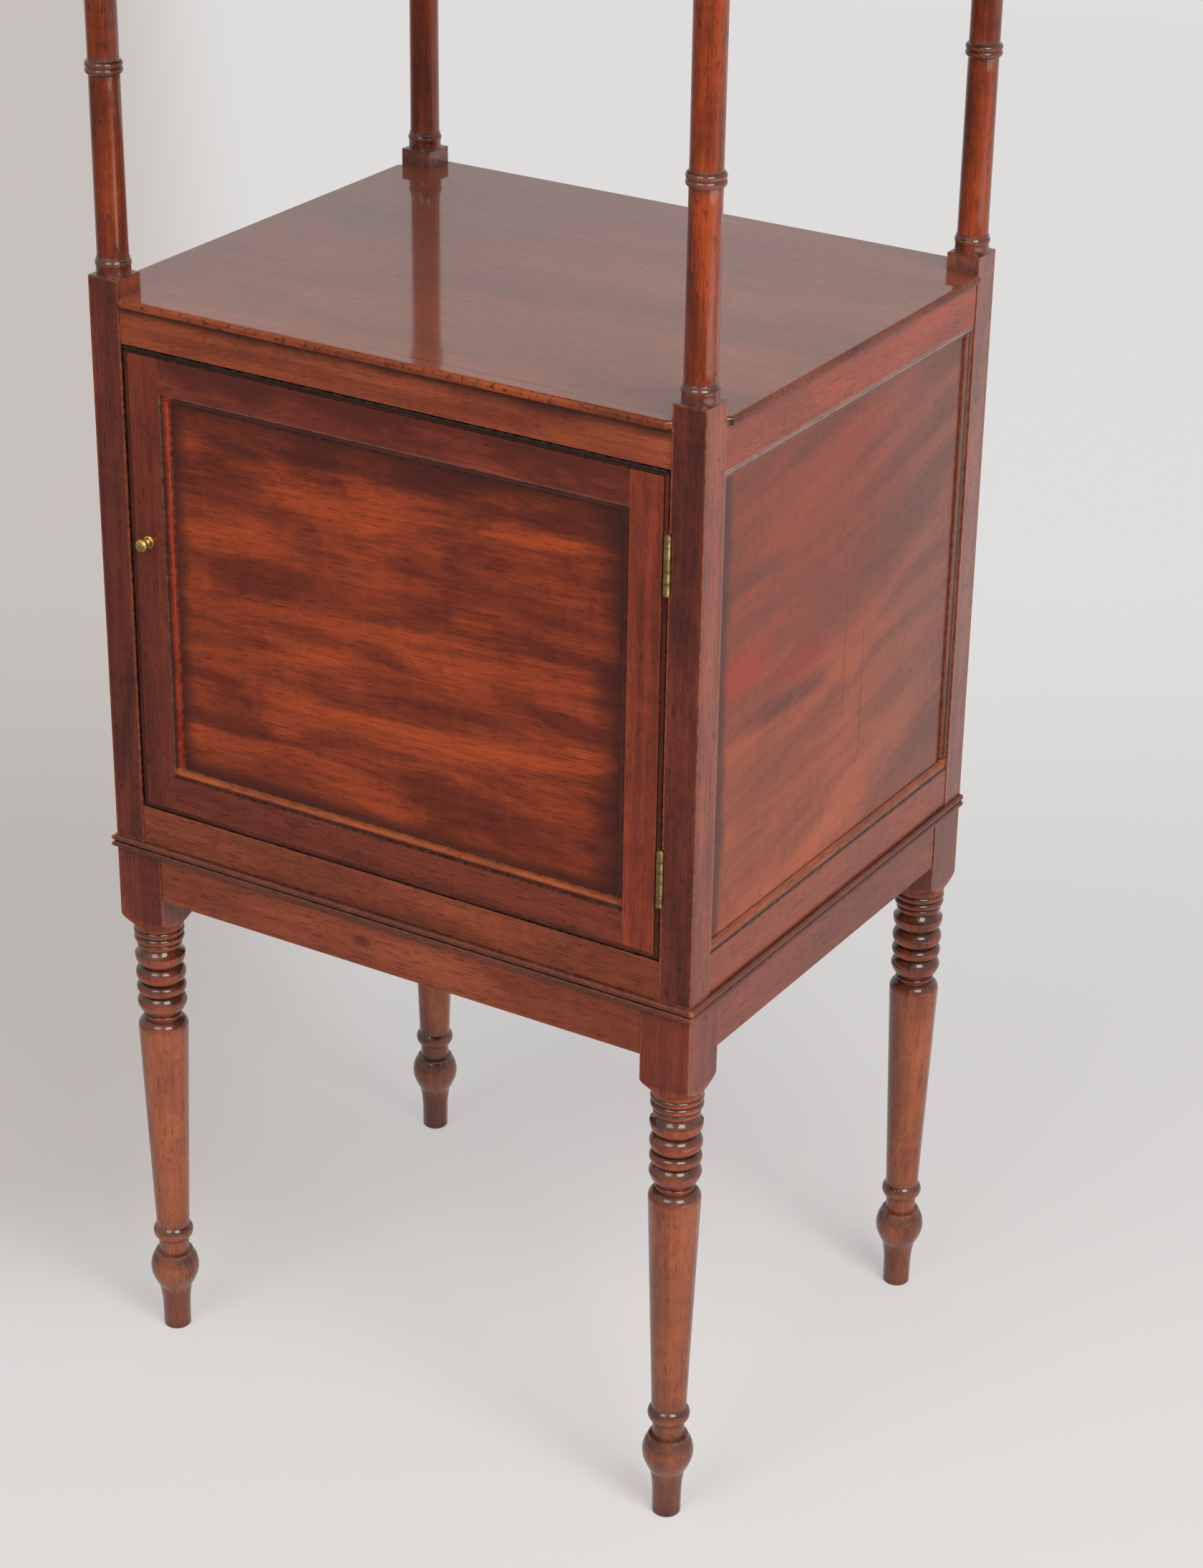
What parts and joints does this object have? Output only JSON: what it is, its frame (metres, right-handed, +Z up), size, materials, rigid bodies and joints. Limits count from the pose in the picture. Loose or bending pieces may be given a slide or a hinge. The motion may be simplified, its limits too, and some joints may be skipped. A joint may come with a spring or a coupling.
{
  "type": "whatnot",
  "caption": "Mahogany whatnot with turned legs, a panelled cupboard with a hinged door and turn catch, and ringed columns that carry an open shelf.",
  "frame": {"origin": "on the floor plane, under the middle of the overall box", "axes": "+Z up, the door faces -Y, +X to the right of someone who faces the door"},
  "size_m": [0.5066, 0.423, 1.2481],
  "materials": {
    "mahogany": "french polished, worn",
    "board_mahogany": "french polished, glossy, edges worn",
    "panel_mahogany": "french polished, glossy, figured",
    "moulding_mahogany": "french polished",
    "door_mahogany": "french polished",
    "door_panel_veneer": "french polished, striped figure",
    "inner_wood": "unpolished, aged",
    "brass": "dull, aged",
    "screw_steel": "dull"
  },
  "bodies": {
    "frame": {"leg_front_left": "mahogany", "leg_front_right": "mahogany", "leg_back_left": "mahogany", "leg_back_right": "mahogany", "post_front_left": "mahogany", "post_front_right": "mahogany", "post_back_left": "mahogany", "post_back_right": "mahogany", "finial_front_left": "mahogany", "finial_front_right": "mahogany", "finial_back_left": "mahogany", "finial_back_right": "mahogany", "apron_front": "mahogany", "apron_back": "mahogany", "apron_left": "mahogany", "apron_right": "mahogany", "base_moulding_front": "mahogany", "base_moulding_left": "mahogany", "base_moulding_right": "mahogany", "front_bottom_rail": "mahogany", "front_top_rail": "mahogany", "side_bottom_rail_left": "mahogany", "side_bottom_rail_right": "mahogany", "side_top_rail_left": "mahogany", "side_top_rail_right": "mahogany", "cupboard_top": "board_mahogany", "upper_shelf": "board_mahogany", "side_panel_left": "panel_mahogany", "side_panel_right": "panel_mahogany", "side_panel_moulding_left": "moulding_mahogany", "side_panel_moulding_right": "moulding_mahogany", "base_frame_back": "inner_wood", "cupboard_floor": "inner_wood", "floor_bearer_left": "inner_wood", "floor_bearer_right": "inner_wood", "back_bottom_rail": "inner_wood", "back_top_rail": "inner_wood", "back_panel": "inner_wood", "glue_blocks": "inner_wood", "door_stop_top": "inner_wood", "door_stop_bottom": "inner_wood", "hinge_post_leaf_upper": "brass", "hinge_post_leaf_lower": "brass", "hinge_pin_upper": "brass", "hinge_pin_lower": "brass", "hinge_screws_post": "screw_steel"},
    "door": {"door_stile_catch": "door_mahogany", "door_stile_hinge": "door_mahogany", "door_rail_top": "door_mahogany", "door_rail_bottom": "door_mahogany", "door_panel": "door_panel_veneer", "door_panel_moulding": "moulding_mahogany", "door_cock_bead": "moulding_mahogany", "knob_rose": "brass", "hinge_door_leaf_upper": "brass", "hinge_door_leaf_lower": "brass", "hinge_screws_door": "screw_steel"},
    "catch": {"door_knob": "brass", "catch_tongue": "brass"}
  },
  "joints": [
    {"name": "door_hinge", "type": "hinge", "parent": "frame", "child": "door", "pos_m": [0.2237, -0.20192, 0.65395], "axis": [0, 0, 1], "range_deg": [0, 170]},
    {"name": "catch_turn", "type": "hinge", "parent": "door", "child": "catch", "pos_m": [-0.207, -0.18122, 0.6887], "axis": [0, 1, 0], "range_deg": [0, 90]}
  ]
}
